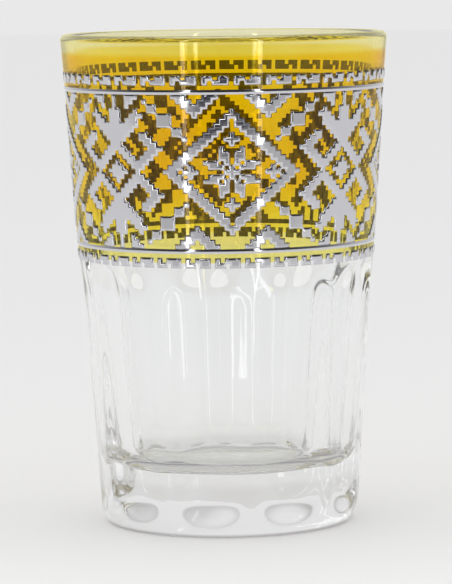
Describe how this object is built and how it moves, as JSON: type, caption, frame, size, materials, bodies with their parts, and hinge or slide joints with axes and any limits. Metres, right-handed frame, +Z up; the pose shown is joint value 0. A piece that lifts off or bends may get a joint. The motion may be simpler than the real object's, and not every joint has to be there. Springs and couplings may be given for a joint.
{
  "type": "moroccan tea glass",
  "caption": "Tapered pressed tea glass with arched flutes round its lower half, a thick base, a transparent amber coat on its upper half and a silver cross-stitch print.",
  "frame": {"origin": "middle of the foot ring's lower face, on the table", "axes": "+Z up along the glass's own axis, -Y towards the viewer of the picture, +X to that viewer's right"},
  "size_m": [0.0596, 0.0596, 0.0896],
  "materials": {
    "clear_glass": "fire-polished clear soda glass",
    "amber_glass": "transparent glossy amber stain",
    "silver_print": "satin silver lustre print with a slight relief"
  },
  "bodies": {
    "root": {"glass_body": "clear_glass", "amber_coat": "amber_glass", "upper_key_border": "silver_print", "upper_rule": "silver_print", "upper_hangings": "silver_print", "diamond_frames": "silver_print", "centre_rosettes": "silver_print", "small_crosses": "silver_print", "tree_motifs": "silver_print", "square_chains": "silver_print", "lower_hangings": "silver_print", "lower_rule": "silver_print", "lower_key_border": "silver_print"}
  },
  "joints": []
}
